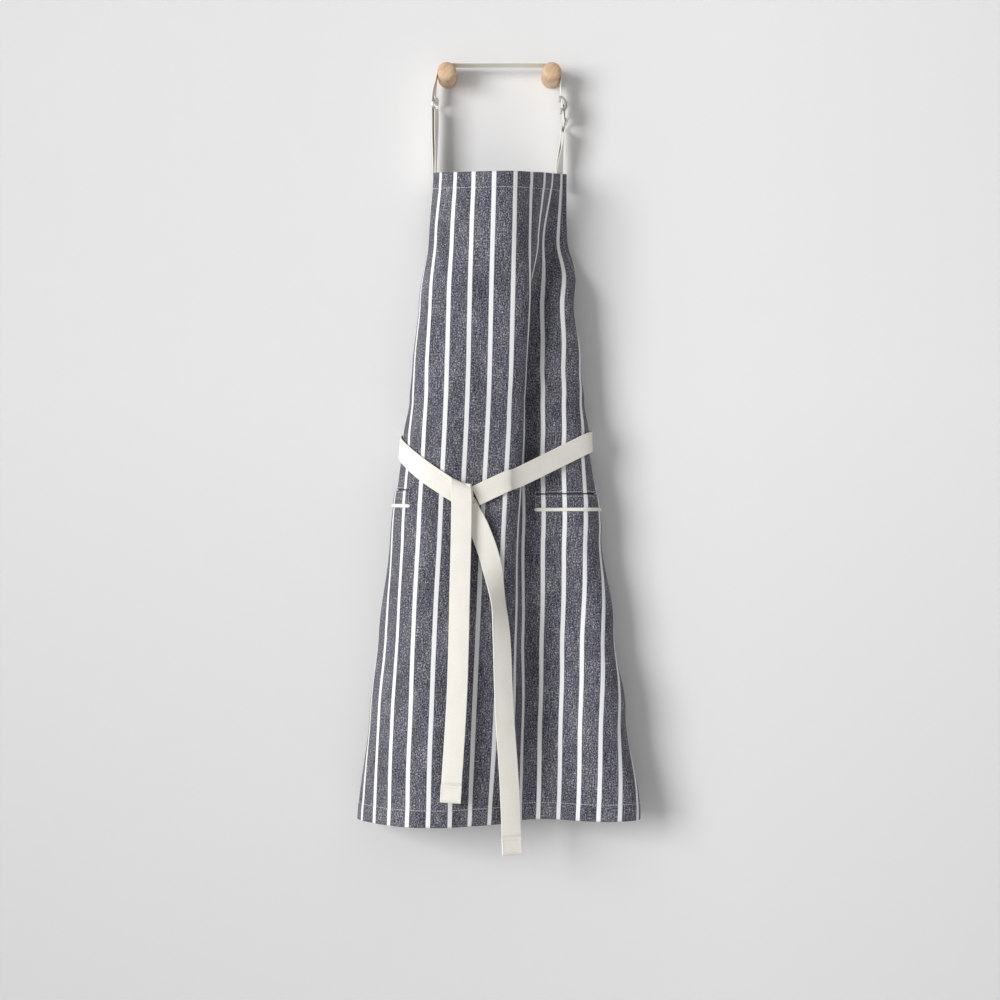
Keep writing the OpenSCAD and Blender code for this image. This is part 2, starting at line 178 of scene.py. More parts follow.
def wall_material():
    """Pale plaster with painted shade, a little darker to the left and below. It shows only its room side, so
    that the apron can be seen from behind."""
    s = Shader("wall_paint", Roughness=0.9)
    place = s.node("ShaderNodeSeparateXYZ")
    s.feed(place.inputs[0], s.node("ShaderNodeTexCoord").outputs["Object"])
    # painted shade: the wall's colour is darkened towards the left and downward
    painted_shade_left = s.span(place.outputs[0], 0.3, -0.9, 1.0, 0.77)
    painted_shade_low = s.span(place.outputs[2], -0.4, -1.3, 1.0, 0.87)
    s.colour(s.mix(s.math("MULTIPLY", painted_shade_left, painted_shade_low), (0.0, 0.0, 0.0), (0.88, 0.88, 0.88)))
    s.surface.inputs["Specular IOR Level"].default_value = 0.1
    mix = s.node("ShaderNodeMixShader")
    s.feed(mix.inputs[0], s.node("ShaderNodeNewGeometry").outputs["Backfacing"])
    s.feed(mix.inputs[1], s.surface.outputs[0])
    s.feed(mix.inputs[2], s.node("ShaderNodeBsdfTransparent").outputs[0])
    s.feed(s.tree.nodes["Material Output"].inputs[0], mix.outputs[0])
    return s.material


def add_wall_and_floor():
    """One sheet: the wall, a round bend and the floor. The wall is a hair behind the pegs' backs."""
    wall_y, top_z, floor_z, bend, reach, half, steps = 0.0006, 2.5, -1.75, 0.35, 5.0, 4.0, 12
    profile = [(wall_y, top_z), (wall_y, floor_z + bend)]
    for k in range(1, steps + 1):
        a = k / steps * math.pi / 2
        profile.append((wall_y - bend * (1 - math.cos(a)), floor_z + bend * (1 - math.sin(a))))
    profile.append((-reach, floor_z))
    verts = [(x, y, z) for y, z in profile for x in (-half, half)]
    faces = [(2 * i, 2 * i + 2, 2 * i + 3, 2 * i + 1) for i in range(len(profile) - 1)]
    mesh = bpy.data.meshes.new("wall_and_floor")
    mesh.from_pydata(verts, [], faces)
    mesh.polygons.foreach_set("use_smooth", [True] * len(faces))
    mesh.materials.append(wall_material())
    wall = bpy.data.objects.new("wall_and_floor", mesh)
    scene.collection.objects.link(wall)


add_camera()
add_wall_and_floor()
add_area_light("key", (-4.8, -5.1, 0.5), (0.3, 0, -0.4), 3.4, 410)
add_area_light("fill", (1.5, -4.5, 0.6), (0.5, 0, -0.4), 3.0, 10)
set_world(0.29)

# ---------------------------------------------------------------- materials


def striped_cloth():
    """Navy and white chambray with a white stripe woven in every 26.4 mm."""
    s = Shader("striped_cloth", Roughness=0.86)
    s.surface.inputs["Specular IOR Level"].default_value = 0.25
    s.surface.inputs["Sheen Weight"].default_value = 0.12
    s.surface.inputs["Sheen Roughness"].default_value = 0.5
    u, v = s.uv()
    warp = s.math("MULTIPLY", u, 1000 / WARP_MM)
    weft = s.math("MULTIPLY", v, 1000 / WEFT_MM)
    # each weft thread nudges the stripe's edge a little
    nudge = s.noise(s.vector(s.math("MULTIPLY", u, 60), s.math("MULTIPLY", v, 1500)), 1, 1)
    shifted = s.math("ADD", s.math("DIVIDE", u, PITCH * MM),
                     s.math("MULTIPLY", s.math("SUBTRACT", nudge, 0.5), 0.012))
    from_stripe = s.math("ABSOLUTE", s.math("SUBTRACT", s.math("FRACT", s.math("ADD", shifted, 0.5)), 0.5))
    white = s.span(from_stripe, STRIPE_W / PITCH / 2 + 0.008, STRIPE_W / PITCH / 2 - 0.008)
    # slubs: short light flecks of weft, longer faint streaks of warp, and slow shade drift
    fleck = s.noise(s.vector(s.math("MULTIPLY", u, 620), s.math("MULTIPLY", v, 470)), 1, 2.5, 0.72)
    streak = s.noise(s.vector(s.math("MULTIPLY", u, 1100), s.math("MULTIPLY", v, 60)), 1, 2, 0.6)
    cloud = s.noise(s.vector(s.math("MULTIPLY", u, 45), s.math("MULTIPLY", v, 18), 5.0), 1, 2)
    tone = s.math("ADD", s.math("MULTIPLY", fleck, 0.62),
                  s.math("ADD", s.math("MULTIPLY", streak, 0.28), s.math("MULTIPLY", cloud, 0.10)))
    navy = s.ramp(tone, (0.38, (0.008, 0.008, 0.016)), (0.46, (0.060, 0.060, 0.086)),
                  (0.54, (0.175, 0.176, 0.210)), (0.64, (0.60, 0.60, 0.60)))
    rib = s.math("MULTIPLY", s.math("SINE", s.math("MULTIPLY", weft, math.tau)), 0.5)
    ivory = s.mix(s.span(rib, -0.5, 0.5, 0.0, 0.35), (0.955, 0.955, 0.955), (0.90, 0.90, 0.905))
    s.colour(s.mix(white, navy, ivory))
    twill = s.math("SINE", s.math("MULTIPLY", s.math("ADD", warp, weft), math.tau))
    relief = s.math("ADD", fleck, s.math("MULTIPLY", white, 0.5))
    s.bump(s.math("ADD", s.math("MULTIPLY", twill, 0.35), relief), 0.22, 0.7)
    return s.material


def plain_cloth():
    """The pocket bags' plain cotton."""
    s = Shader("pocket_lining", Roughness=0.9)
    s.surface.inputs["Specular IOR Level"].default_value = 0.2
    u, v = s.uv()
    thread = s.noise(s.vector(s.math("MULTIPLY", u, 800), s.math("MULTIPLY", v, 500)), 1, 2, 0.6)
    s.colour(s.ramp(thread, (0.35, (0.045, 0.047, 0.062)), (0.65, (0.13, 0.135, 0.16))))
    s.bump(thread, 0.2, 0.6)
    return s.material


def webbing(name, light=(0.955, 0.925, 0.855), dark=(0.875, 0.830, 0.740)):
    """Natural cotton webbing: a plain weave of fat warp ribs between two firm selvedges."""
    s = Shader(name, Roughness=0.82)
    s.surface.inputs["Specular IOR Level"].default_value = 0.25
    s.surface.inputs["Sheen Weight"].default_value = 0.1
    u, v = s.uv()
    across = s.math("SINE", s.math("MULTIPLY", u, math.tau * 1000 / RIB_MM))
    along = s.math("SINE", s.math("MULTIPLY", v, math.tau * 1000 / PICK_MM))
    weave = s.math("MULTIPLY", across, along)
    fuzz = s.noise(s.vector(s.math("MULTIPLY", u, 900), s.math("MULTIPLY", v, 420)), 1, 3, 0.65)
    drift = s.noise(s.vector(s.math("MULTIPLY", u, 70), s.math("MULTIPLY", v, 30), 2.0), 1, 2)
    depth = s.math("ADD", s.math("MULTIPLY", weave, 0.16),
                   s.math("ADD", s.math("MULTIPLY", fuzz, 0.6), s.math("MULTIPLY", drift, 0.35)))
    s.colour(s.ramp(depth, (0.22, dark), (0.50, light), (0.80, tuple(min(1, c * 1.04) for c in light))))
    s.bump(s.math("ADD", s.math("MULTIPLY", weave, 0.5), s.math("MULTIPLY", fuzz, 0.5)), 0.25, 0.6)
    return s.material


def thread(name, colour):
    """Sewing thread, shaded by its twist."""
    s = Shader(name, Roughness=0.7)
    place = s.node("ShaderNodeTexCoord").outputs["Object"]
    twist = s.noise(place, 2500, 1)
    s.colour(s.mix(twist, colour, tuple(c * 0.75 for c in colour)))
    s.bump(twist, 0.1, 0.5)
    return s.material


def beech():
    """Turned beech: growth rings cut at a slant, with short dark flecks."""
    s = Shader("beech", Roughness=0.5)
    s.surface.inputs["Coat Weight"].default_value = 0.15
    s.surface.inputs["Coat Roughness"].default_value = 0.35
    place = s.node("ShaderNodeTexCoord").outputs["Object"]
    turned = s.node("ShaderNodeMapping")
    turned.inputs["Rotation"].default_value = (0.35, math.radians(-42), 0.2)
    s.feed(turned.inputs["Vector"], place)
    stretched = s.node("ShaderNodeMapping")
    stretched.inputs["Scale"].default_value = (1, 0.25, 0.18)
    s.feed(stretched.inputs["Vector"], turned.outputs[0])
    rings = s.noise(stretched.outputs[0], 420, 3, 0.6, 0.6)
    pores = s.noise(stretched.outputs[0], 2600, 2, 0.7)
    flush = s.noise(place, 60, 2)
    tone = s.math("ADD", s.math("MULTIPLY", rings, 0.62), s.math("MULTIPLY", flush, 0.38))
    wood = s.ramp(tone, (0.36, (0.57, 0.355, 0.205)), (0.50, (0.70, 0.475, 0.295)),
                  (0.66, (0.79, 0.585, 0.40)))
    fleck = s.span(pores, 0.60, 0.68, 0.0, 0.45)
    s.colour(s.mix(fleck, wood, (0.40, 0.225, 0.12)))
    s.roughness(s.span(rings, 0.3, 0.7, 0.42, 0.6))
    s.bump(s.math("SUBTRACT", rings, s.math("MULTIPLY", fleck, 0.8)), 0.12, 0.5)
    return s.material


def plated(name, tint, low=0.22, high=0.42):
    """Plated metal with fine rubbing marks."""
    s = Shader(name, Metallic=1.0)
    place = s.node("ShaderNodeTexCoord").outputs["Object"]
    marks = s.node("ShaderNodeMapping")
    marks.inputs["Scale"].default_value = (1, 5, 1)
    s.feed(marks.inputs["Vector"], place)
    rub = s.noise(marks.outputs[0], 900, 3, 0.6)
    cloud = s.noise(place, 140, 2)
    s.colour(s.ramp(cloud, (0.3, tuple(c * 0.82 for c in tint)), (0.7, tint)))
    s.roughness(s.span(rub, 0.3, 0.7, low, high))
    s.bump(rub, 0.03, 0.4)
    return s.material


# ---------------------------------------------------------------- the cloth's shape
PITCH = 26.4               # between two white stripes
STRIPE_W = 5.4
WARP_MM, WEFT_MM = 0.9, 1.1      # the cloth's twill lines
RIB_MM, PICK_MM = 1.25, 1.5      # the webbing's ribs and cross threads
APRON_H, BIB_W, SKIRT_W, CORNER_DROP = 820, 286, 600, 345
CLOTH_T = 0.8
CLOTH_TOP = -125
FALL = 0.993               # height lost for each millimetre of cloth, as it hangs a little slack
POCKET_INNER, POCKET_W = 3.6 * PITCH, 140
WELT_H, BINDING_H = 22, 4.5
BAG_H, BAG_RISE = 150, 11  # the pocket bag, below and above its slit

# The cloth is bent across its width only. Each chart row gives the turn of the cloth, in degrees
# from facing the viewer, in each gap between two stripes, from 12 gaps left of the centre stripe
# to 12 gaps right of it. Down the apron the rows blend smoothly.
CHART_DROPS = [0, 85, 170, 250, 290, 340, 460, 585, 685, 820]
CHART = [
    [-95, -95, -95, -95, -95, -95, -100, -95, -65, -45, -30, -20,
     5, 45, 50, 70, 65, 45, 85, 90, 90, 90, 90, 90],
    [-95, -95, -95, -95, -95, -95, -95, -90, -70, -35, -25, -5,
     0, 45, 65, 85, 35, 50, 90, 110, 110, 110, 110, 110],
    [-165, -165, -165, -165, -155, -135, -110, -90, -60, -25, -10, 5,
     -2, 27, 116, 39, -37, 53, 136, 175, 180, 180, 180, 180],
    [-180, -180, -175, -185, -165, -150, -115, -85, -55, -15, 0, 10,
     -4, 33, 128, -4, 4, 26, 106, 161, 175, 180, 180, 180],
    [-180, -160, -205, -160, -180, -150, -105, -80, -50, -20, 0, 10,
     8, 33, 124, -24, 0, 30, 83, 160, 205, 155, 205, 180],
    [-220, -135, -220, -140, -190, -145, -100, -70, -45, -15, 5, 15,
     -5, 32, 121, -23, 1, 16, 71, 131, 206, 140, 215, 150],
    [-205, -150, -205, -150, -185, -140, -85, -55, -45, -5, 15, 15,
     -11, 49, 91, -9, -1, -2, 44, 90, 193, 151, 205, 165],
    [-180, -175, -185, -175, -165, -105, -65, -55, -40, -5, 0, 5,
     -3, 36, 84, 14, 14, -30, 3, 52, 110, 175, 186, 180],
    [-180, -180, -180, -175, -150, -90, -60, -50, -30, -15, 15, 5,
     7, 25, 75, 32, -13, -29, -11, 24, 67, 129, 167, 180],
    [-180, -180, -180, -170, -120, -70, -50, -45, -30, -10, 0, 30,
     20, 31, 59, 30, -12, -27, -20, 3, 21, 87, 127, 165]]


def half_w(drop):
    """Half the flat cloth's width: the bib widens in a curve to the skirt's corners."""
    return BIB_W / 2 + (SKIRT_W - BIB_W) / 2 * np.clip(drop / CORNER_DROP, 0, 1) ** 2.2


def centre_x(drop):
    """Where the centre stripe hangs, sideways."""
    return -6 - 31 * (np.maximum(drop, 0) / APRON_H) ** 1.2 + 2 * np.exp(-((drop - 280) / 110) ** 2)


def centre_y(drop):
    """How far the centre stripe stands out from the wall."""
    return -115 + 8 * np.clip(drop / 350, 0, 1)


def sag(drop, across):
    """How far the bib's middle hangs below its corners, dying away down the cloth."""
    angle = np.radians(np.clip(180 * across / BIB_W, -90, 90))
    return 11.7 * np.cos(angle) ** 1.2 * np.exp(-drop / 160)


TABLE_STEP = 2.0
TABLE_DROPS = np.arange(0, APRON_H + TABLE_STEP, TABLE_STEP)
TABLE_ACROSS = np.arange(-SKIRT_W / 2, SKIRT_W / 2 + TABLE_STEP, TABLE_STEP)


def chart_row(drop):
    """The turn of the cloth at every table column, at one height."""
    i = min(max(np.searchsorted(CHART_DROPS, drop, "right") - 1, 0), len(CHART) - 2)
    t = np.clip((drop - CHART_DROPS[i]) / (CHART_DROPS[i + 1] - CHART_DROPS[i]), 0, 1)
    blend = t * t * (3 - 2 * t)
    row = np.array(CHART[i]) * (1 - blend) + np.array(CHART[i + 1]) * blend
    gap_centres = (np.arange(len(row)) - len(row) / 2 + 0.5) * PITCH
    return gap_centres, row


def fold_table():
    """Each table point's x, y and turn, by walking across the cloth from its centre stripe."""
    centre = len(TABLE_ACROSS) // 2
    x, y, turn = (np.zeros((len(TABLE_DROPS), len(TABLE_ACROSS))) for _ in range(3))
    middles = (TABLE_ACROSS[1:] + TABLE_ACROSS[:-1]) / 2
    for r, drop in enumerate(TABLE_DROPS):
        gaps, row = chart_row(drop)
        turn[r] = np.interp(TABLE_ACROSS, gaps, row)
        angle = np.radians(np.interp(middles, gaps, row))
        for table, part, start in ((x, np.cos(angle), centre_x(drop)),
                                   (y, np.sin(angle), centre_y(drop))):
            walked = np.concatenate([[0], np.cumsum(part * TABLE_STEP)])
            table[r] = start + walked - walked[centre]
    return x, y, np.radians(turn)


def crease_table():
    """How far soft creases push each table point out: slow swells and small puckers."""
    out = np.zeros((len(TABLE_DROPS), len(TABLE_ACROSS)))
    for r, drop in enumerate(TABLE_DROPS):
        for c, across in enumerate(TABLE_ACROSS):
            swell = noise.noise(Vector((across / 62, drop / 150, 3.7)))
            pucker = noise.noise(Vector((across / 21, drop / 46, 8.1)))
            out[r, c] = 1.5 * swell + 0.4 * pucker
    return out


FOLD_X, FOLD_Y, FOLD_TURN = fold_table()
CREASES = crease_table()


def tie_drop(across):
    """The drop of the waist ties' middle line, where they cross the front of the cloth."""
    gaps = np.array([-8, -6.6, -5.6, -4.7, -3.8, -2.8, -1.8, -1.2, -0.65, 1, 1.75, 5, 6, 6.6, 8])
    drops = np.array([342, 345, 348, 353, 364, 381, 399, 410, 420, 393, 386, 361, 347.5, 344, 340])
    return np.interp(across / PITCH, gaps, drops)


def look_up(table, drop, across):
    """A table's value between its points."""
    r = np.clip(drop / TABLE_STEP, 0, len(TABLE_DROPS) - 1.001)
    c = np.clip((across - TABLE_ACROSS[0]) / TABLE_STEP, 0, len(TABLE_ACROSS) - 1.001)
    i, j = r.astype(int), c.astype(int)
    fr, fc = r - i, c - j
    top = table[i, j] * (1 - fc) + table[i, j + 1] * fc
    low = table[i + 1, j] * (1 - fc) + table[i + 1, j + 1] * fc
    return top * (1 - fr) + low * fr


def cloth_at(drop, across, out=0.0):
    """Points and outward directions of the cloth, in mm."""
    drop, across = np.broadcast_arrays(np.asarray(drop, float), np.asarray(across, float))
    inside = np.clip(drop, 0, APRON_H)
    turn = look_up(FOLD_TURN, inside, across)
    normal = np.stack([np.sin(turn), -np.cos(turn), np.zeros_like(turn)], -1)
    under_tie = np.exp(-((drop - tie_drop(across)) / 15) ** 2)
    pinch, fade = -1.2 * under_tie, np.clip(drop / 60, 0, 1) * (1 - 0.9 * under_tie)
    push = out + fade * look_up(CREASES, inside, across) + pinch
    z = CLOTH_TOP - drop * FALL - sag(drop, across)
    base = np.stack([look_up(FOLD_X, inside, across), look_up(FOLD_Y, inside, across), z], -1)
    return base + normal * np.asarray(push)[..., None], normal


# ---------------------------------------------------------------- making pieces
MATERIALS = {}


def add_piece(name, verts, faces, uvs, material, body, nodes=()):
    """A smooth mesh with its UVs in metres, which rides on a body and may replace CAD nodes."""
    mesh = bpy.data.meshes.new(name)
    mesh.from_pydata((np.asarray(verts) * MM).tolist(), [], faces)
    mesh.update()
    layer = mesh.uv_layers.new(name="cloth")
    corner = np.empty(len(mesh.loops), int)
    mesh.loops.foreach_get("vertex_index", corner)
    layer.data.foreach_set("uv", (np.asarray(uvs) * MM)[corner].ravel())
    mesh.polygons.foreach_set("use_smooth", [True] * len(mesh.polygons))
    mesh.materials.append(MATERIALS[material])
    piece = bpy.data.objects.new(name, mesh)
    scene.collection.objects.link(piece)
    if body:
        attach(piece, body)
    if nodes:
        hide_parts(*nodes)
    return piece


def grid_faces(rows, cols, skip=None):
    return [(r * cols + c, (r + 1) * cols + c, (r + 1) * cols + c + 1, r * cols + c + 1)
            for r in range(rows - 1) for c in range(cols - 1) if not (skip and skip(r, c))]


def solidify(piece, thickness, group=None):
    """Thickness to both sides. Outside the group, if one is named, it is halved."""
    modifier = piece.modifiers.new("thickness", "SOLIDIFY")
    modifier.thickness = thickness * MM
    modifier.offset = 0.0
    if group:
        modifier.vertex_group = group
        modifier.thickness_vertex_group = 0.5
    return piece


def smooth_path(stations, n):
    """A Catmull-Rom path through given stations."""
    s = np.array(stations, float)
    rows = []
    for i in range(len(s) - 1):
        a, b, c, d = s[max(i - 1, 0)], s[i], s[i + 1], s[min(i + 2, len(s) - 1)]
        for k in range(n):
            t = k / n
            curve = (2 * a - 5 * b + 4 * c - d) + t * (3 * (b - c) + d - a)
            rows.append(b + t * ((c - a) + t * curve) / 2)
    return np.array(rows + [s[-1]])


def unit(v):
    return v / np.maximum(np.linalg.norm(v, axis=-1, keepdims=True), 1e-9)


def tangents(path):
    ahead = np.concatenate([path[1:], path[-1:]])
    behind = np.concatenate([path[:1], path[:-1]])
    return unit(ahead - behind)


# Half of a webbing's section, from its middle to its edge: share of half width, share of thickness
SECTION = [(0.0, 1.0), (0.35, 1.0), (0.7, 0.97), (0.88, 0.95),
           (0.93, 1.06), (0.965, 1.02), (0.99, 0.7), (1.0, 0.25)]


def webbing_mesh(path, sides, width, thickness, cup):
    """A closed ribbon along a path. sides are the directions across its width, and cup is how far
    its middle bows out."""
    sides = unit(sides - tangents(path) * (sides * tangents(path)).sum(-1, keepdims=True))
    ups = np.cross(tangents(path), sides)
    half = [(w * width / 2, t * thickness / 2) for w, t in SECTION]
    ring = [(w, t) for w, t in half] + [(w, -t) for w, t in half[::-1]]
    ring += [(-w, -t) for w, t in half[1:]] + [(-w, t) for w, t in half[:0:-1]]
    run = np.concatenate([[0], np.cumsum(np.linalg.norm(np.diff(path, axis=0), axis=1))])
    verts, uvs = [], []
    for point, side, up, at in zip(path, sides, ups, run):
        for w, t in ring:
            bow = cup * (1 - (2 * w / width) ** 2)
            verts.append(point + side * w + up * (t + bow))
            uvs.append((w, at))
    n, m = len(path), len(ring)
    faces = [(r * m + c, r * m + (c + 1) % m, (r + 1) * m + (c + 1) % m, (r + 1) * m + c)
             for r in range(n - 1) for c in range(m)]
    faces += [tuple(range(m - 1, -1, -1)), tuple((n - 1) * m + c for c in range(m))]
    return np.array(verts), faces, np.array(uvs), run[-1]


def add_webbing(name, path, sides, body, nodes=(), width=25.0, thickness=1.2, cup=0.0):
    verts, faces, uvs, length = webbing_mesh(path, sides, width, thickness, cup)
    return add_piece(name, verts, faces, uvs, "webbing", body, nodes), length


def on_line(rows, run, at):
    """What the rows are worth at a distance along their line."""
    return np.array([np.interp(at, run, rows[:, k]) for k in range(3)])


def add_stitches(name, lines, body, material="thread", radius=0.3):
    """Rows of stitches. A line is its points and the outward directions there."""
    stitch, gap, rise, sides = 2.4, 0.9, 0.12, 6
    # a stitch's rings: share of its length, share of its radius, share of its diameter pulled in
    rings = ((0.0, 0.35, -0.25), (0.2, 1.0, 0.0), (0.8, 1.0, 0.0), (1.0, 0.35, -0.25))
    verts, faces = [], []
    for points, outs in lines:
        run = np.concatenate([[0], np.cumsum(np.linalg.norm(np.diff(points, axis=0), axis=1))])
        at = 0.0
        while at + stitch <= run[-1]:
            first = len(verts)
            along = unit(on_line(points, run, at + stitch) - on_line(points, run, at))
            out = unit(on_line(outs, run, at))
            across = np.cross(along, out)
            for share, fat, dip in rings:
                centre = on_line(points, run, at + share * stitch) + out * (rise + dip * radius * 2)
                for k in range(sides):
                    a = math.tau * k / sides
                    turn = across * math.cos(a) + out * 0.8 * math.sin(a)
                    verts.append(centre + radius * fat * turn)
            for r in range(len(rings) - 1):
                for k in range(sides):
                    a, b = first + r * sides + k, first + r * sides + (k + 1) % sides
                    faces.append((a, b, b + sides, a + sides))
            faces.append(tuple(first + k for k in range(sides - 1, -1, -1)))
            faces.append(tuple(first + (len(rings) - 1) * sides + k for k in range(sides)))
            at += stitch + gap
    return add_piece(name, verts, faces, np.zeros((len(verts), 2)), material, body)


# ---------------------------------------------------------------- the apron's cloth
MATERIALS.update(
    striped=striped_cloth(), lining=plain_cloth(), webbing=webbing("cream_webbing"),
    tape=webbing("cream_tape", (0.925, 0.900, 0.845), (0.82, 0.78, 0.70)),
    thread=thread("cream_thread", (0.86, 0.86, 0.86)), tie_thread=thread("tie_thread", (0.80, 0.76, 0.68)),
    beech=beech(), nickel=plated("nickel", (0.70, 0.69, 0.67)),
    zinc=plated("zinc", (0.62, 0.63, 0.66), 0.3, 0.5))

# A pocket's two ends across the cloth, and the drop of its slit
POCKETS = {"left": (-POCKET_INNER - POCKET_W, -POCKET_INNER, 404),
           "right": (POCKET_INNER, POCKET_INNER + POCKET_W, 409)}
SLIT = 0.8
TOP_HEM, LOW_HEM, SIDE_HEM = 21, 21, 9


def column(drop, share):
    """Columns keep their distance across in the cloth's middle, and close up beyond it."""
    core, a = 0.4, abs(share)
    inner = min(a, core) * SKIRT_W / 2
    outer = (half_w(drop) - core * SKIRT_W / 2) * max(a - core, 0) / (1 - core)
    return math.copysign(inner + outer, share)


def add_apron_cloth():
    step = 3.0
    slits = [drop for _, _, drop in POCKETS.values()]
    clear = 0.6 * step
    plain = [d for d in np.linspace(0, APRON_H, int(APRON_H / step))
             if min(abs(d - s) for s in slits) > clear]
    drops = np.array(sorted(plain + [s + d for s in slits for d in (-SLIT, SLIT)]))
    shares = np.linspace(-1, 1, int(SKIRT_W / step) + 1)
    across = np.array([[column(d, s) for s in shares] for d in drops])
    down = np.repeat(drops[:, None], len(shares), 1)
    points, _ = cloth_at(down, across)

    def in_slit(r, c):
        return any(abs(drops[r] + SLIT - slit) < 0.01 and low <= across[r, c] and across[r, c + 1] <= high
                   for low, high, slit in POCKETS.values())

    uvs = np.stack([across, down], -1).reshape(-1, 2)
    faces = grid_faces(len(drops), len(shares), in_slit)
    piece = add_piece("apron_cloth", points.reshape(-1, 3), faces, uvs, "striped", "apron",
                      ["apron_panel"])
    group = piece.vertex_groups.new(name="hem")
    edge = np.abs(across) > half_w(down) - SIDE_HEM
    hem = (down < TOP_HEM) | (down > APRON_H - LOW_HEM) | edge
    group.add([int(i) for i in np.flatnonzero(hem.ravel())], 1.0, "REPLACE")
    return solidify(piece, 2 * CLOTH_T, "hem")


def seam(drops, across, out=CLOTH_T / 2 + 0.1):
    """A line of sewing: its points and the outward directions there."""
    return cloth_at(drops, across, out)


def add_hem_stitching():
    lines = []
    across = np.arange(-BIB_W / 2 + 2, BIB_W / 2 - 2, 2.0)
    lines.append(seam(np.full_like(across, TOP_HEM), across, CLOTH_T))
    across = np.arange(-SKIRT_W / 2 + 2, SKIRT_W / 2 - 2, 2.0)
    lines.append(seam(np.full_like(across, APRON_H - LOW_HEM), across, CLOTH_T))
    drops = np.arange(2, APRON_H - 2, 3.0)
    for side in (-1, 1):
        lines.append(seam(drops, side * (half_w(drops) - SIDE_HEM), CLOTH_T))
    return add_stitches("hem_stitching", lines, "apron")


def add_strip(name, low, high, drops, out, thickness, material, nodes):
    """A strip of cloth laid on the apron, or behind it."""
    n = 60
    across = np.linspace(low, high, n)
    down = np.repeat(np.asarray(drops, float)[:, None], n, 1)
    over = np.repeat(across[None], len(drops), 0)
    points, _ = cloth_at(down, over, out)
    uvs = np.stack([over, down], -1).reshape(-1, 2)
    faces = grid_faces(len(drops), n)
    piece = add_piece(name, points.reshape(-1, 3), faces, uvs, material, "apron", nodes)
    return solidify(piece, thickness)


def add_binding(side, low, high, slit):
    """Folded tape along the welt's lower edge: two rounded plies with a groove between them."""
    top = slit + WELT_H - BINDING_H
    profile = [(0.0, 0.2), (0.2, 1.4), (1.1, 1.9), (1.9, 1.7), (2.2, 1.35),
               (2.5, 1.7), (3.4, 1.9), (4.3, 1.4), (4.5, 0.2)]
    across = np.linspace(low - 1.5, high + 1.5, 64)
    ends = np.clip(np.minimum(across - across[0], across[-1] - across) / 2.5, 0.15, 1) ** 0.5
    verts, uvs = [], []
    for k, a in enumerate(across):
        for drop, out in profile:
            mid = BINDING_H / 2
            point, _ = cloth_at(top + mid + (drop - mid) * ends[k], a, CLOTH_T / 2 + 0.4 + out * ends[k])
            verts.append(point)
            uvs.append((drop, a))
    n = len(profile)
    faces = grid_faces(len(across), n)
    faces += [((r + 2) * n - 1, (r + 1) * n - 1, r * n, (r + 1) * n) for r in range(len(across) - 1)]
    faces += [tuple(range(n)), tuple((len(across) - 1) * n + k for k in range(n - 1, -1, -1))]
    return add_piece(f"{side}_pocket_binding_tape", verts, faces, uvs, "tape", "apron",
                     [f"{side}_pocket_binding"])


def add_pocket(side):
    low, high, slit = POCKETS[side]
    welt_drops = [slit + d for d in (1.2, 2.6, 7, 12, WELT_H - BINDING_H + 0.5)]
    welt = add_strip(f"{side}_welt_strip", low, high, welt_drops, CLOTH_T / 2 + 0.55, 0.8, "striped",
                     [f"{side}_pocket_welt"])
    bag = add_strip(f"{side}_bag_lining", low, high, np.linspace(slit - BAG_RISE, slit + BAG_H, 24),
                    -CLOTH_T / 2 - 3.4, 2.2, "lining", [f"{side}_pocket_bag"])
    binding = add_binding(side, low, high, slit)
    across = np.arange(low + 1, high - 1, 2.0)
    on_welt = CLOTH_T / 2 + 1.1
    lines = [seam(np.full_like(across, slit - 2.6), across),
             seam(np.full_like(across, slit + 3.0), across, on_welt)]
    for end in (low + 0.6, high - 0.6):
        drops = np.arange(slit - 2.6, slit + WELT_H, 1.5)
        lines.append(seam(drops, np.full_like(drops, end), on_welt))
    stitching = add_stitches(f"{side}_pocket_stitching", lines, "apron", radius=0.26)
    return [binding, welt, bag, stitching]


# ---------------------------------------------------------------- neck strap, tabs and rings
STRAP_Y, WEB_W, WEB_T, WIRE_D, FIT_GAP = -22.5, 25, 1.2, 2.4, 0.3
PEG_X, PEG_SEAT_R = 66, 11.85
LOOP_R = WIRE_D / 2 + FIT_GAP + WEB_T / 2
RING_H, BAR_LEN = 10, 27
LEFT_BAR = np.array([-81.5, -34.0])
LEAN, LEAN_TOP = math.radians(6), np.array([77.9, -22.0])
RIGHT_BAR = np.array([LOOP_R, -38.0])
RETURN_X, SLIDER_Z, SEWN_LEN = 2 * LOOP_R, -16.0, 19.0
RING_TURN = math.radians(20)
LEFT_TWIST, RIGHT_TWIST = math.radians(9), math.radians(18)
TAB_FOOT = 16              # the length sewn behind the bib


def lean(x, z):
    """A point of the right strap, which leans out from its peg."""
    return (LEAN_TOP[0] + x * math.cos(LEAN) - z * math.sin(LEAN),
            LEAN_TOP[1] + x * math.sin(LEAN) + z * math.cos(LEAN))


RIGHT_LOW_BAR = np.array(lean(*RIGHT_BAR)) + RING_H * np.array([-math.sin(RING_TURN), -math.cos(RING_TURN)])


def arc(centre, r, start, end, n):
    """Points round a centre, from one angle to another in degrees."""
    return [(centre[0] + r * math.cos(math.radians(a)), centre[1] + r * math.sin(math.radians(a)))
            for a in np.linspace(start, end, n + 1)]


def fine(points, step=2.0):
    """The same [x, z] path with points no further apart than a step."""
    rows = []
    for a, b in zip(points[:-1], points[1:]):
        n = max(1, int(math.dist(a, b) / step))
        rows += [(a[0] + (b[0] - a[0]) * k / n, a[1] + (b[1] - a[1]) * k / n) for k in range(n)]
    return rows + [points[-1]]


def ease(t):
    """0 to 1 with a soft start and end."""
    t = min(max(t, 0), 1)
    return t * t * (3 - 2 * t)


